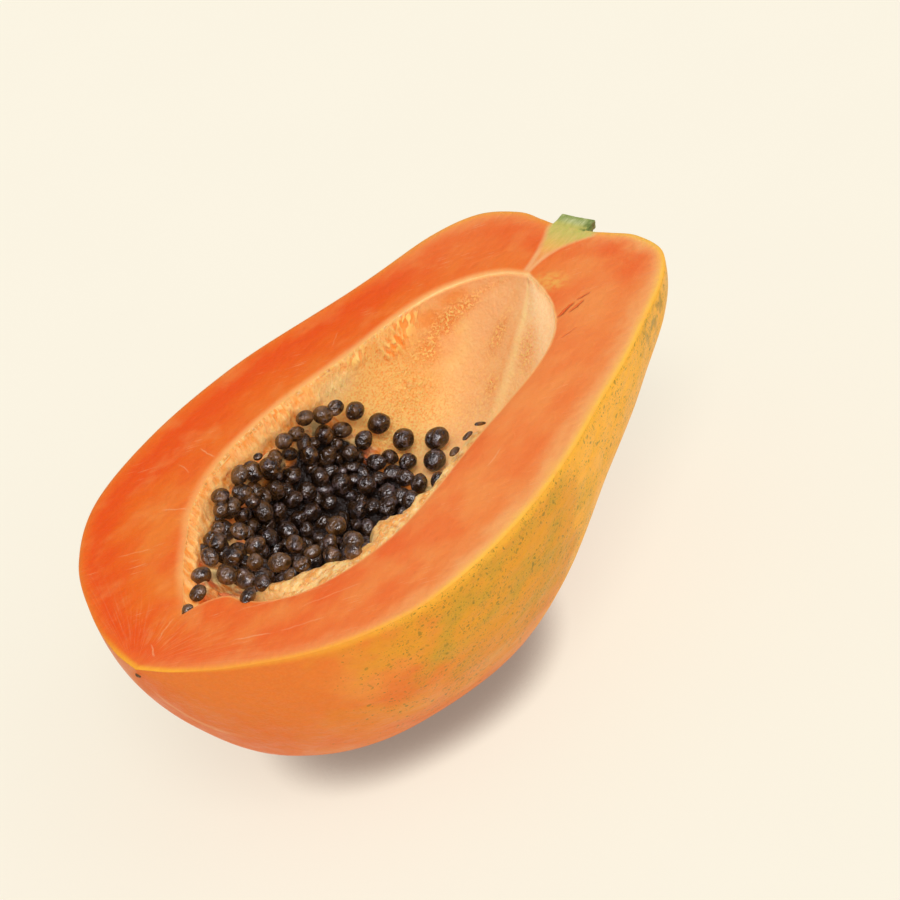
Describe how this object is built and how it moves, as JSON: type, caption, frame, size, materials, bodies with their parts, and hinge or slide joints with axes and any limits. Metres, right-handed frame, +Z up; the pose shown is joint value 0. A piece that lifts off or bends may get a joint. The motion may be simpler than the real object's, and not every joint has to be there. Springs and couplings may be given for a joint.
{
  "type": "papaya half",
  "caption": "Ripe papaya half, cut lengthwise, lying on its back with the cut face up, an open seed cavity, a bed of round dark seeds and a short stem stub.",
  "frame": {"origin": "centre of the bounding box's bottom, on the surface the half rests on", "axes": "+X along the fruit from the blossom tip to the stem, +Z up, out of the cut face"},
  "size_m": [0.1782, 0.1122, 0.0679],
  "materials": {
    "flesh_and_skin": "satin, slightly wet",
    "seeds": "glossy, wet",
    "stem": "matt, fibrous"
  },
  "bodies": {
    "root": {"papaya_half": "flesh_and_skin", "seed_bed": "seeds", "seed_loose_1": "seeds", "seed_loose_2": "seeds", "seed_loose_3": "seeds", "seed_loose_4": "seeds", "seed_loose_5": "seeds", "seed_loose_6": "seeds", "seed_loose_7": "seeds", "seed_loose_8": "seeds", "stem_stub": "stem"}
  },
  "joints": []
}
